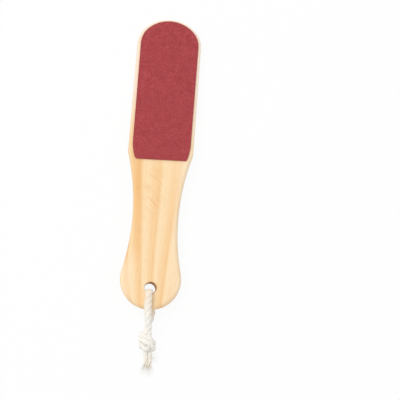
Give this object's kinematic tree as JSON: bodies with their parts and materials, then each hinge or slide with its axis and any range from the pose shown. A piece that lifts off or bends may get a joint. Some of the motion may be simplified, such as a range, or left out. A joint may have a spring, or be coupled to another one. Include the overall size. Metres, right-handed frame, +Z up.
{
  "type": "foot file",
  "caption": "Flat wooden paddle with an arched head, an abrasive sheet glued to each face of it, a waisted handle and a knotted cotton hanging cord through its round tail.",
  "frame": {"origin": "on the surface under the paddle, at the middle of the paddle's box without its cord", "axes": "+Y from the tail to the head along the paddle, +Z up out of the front abrasive face, +X to the right seen from the front"},
  "size_m": [0.0494, 0.274, 0.0201],
  "materials": {
    "pine": "sanded, unvarnished",
    "glue": "dried film",
    "backing_cloth": "resin-filled cloth",
    "red_grit": "coarse grain",
    "fine_red_grit": "fine grain",
    "cotton": "twisted, undyed"
  },
  "bodies": {
    "paddle": {"wood_paddle": "pine", "front_adhesive": "glue", "front_abrasive_backing": "backing_cloth", "front_grit_coat": "red_grit", "rear_adhesive": "glue", "rear_abrasive_backing": "backing_cloth", "rear_grit_coat": "fine_red_grit"},
    "loop": {"cord_loop": "cotton", "cord_knot": "cotton", "left_tail": "cotton", "right_tail": "cotton"}
  },
  "joints": [
    {"name": "loop_swing", "type": "hinge", "parent": "paddle", "child": "loop", "pos_m": [0, -0.09637, 0.00985], "axis": [0, 0.0234, 0.9997], "range_deg": [-90, 90]}
  ]
}
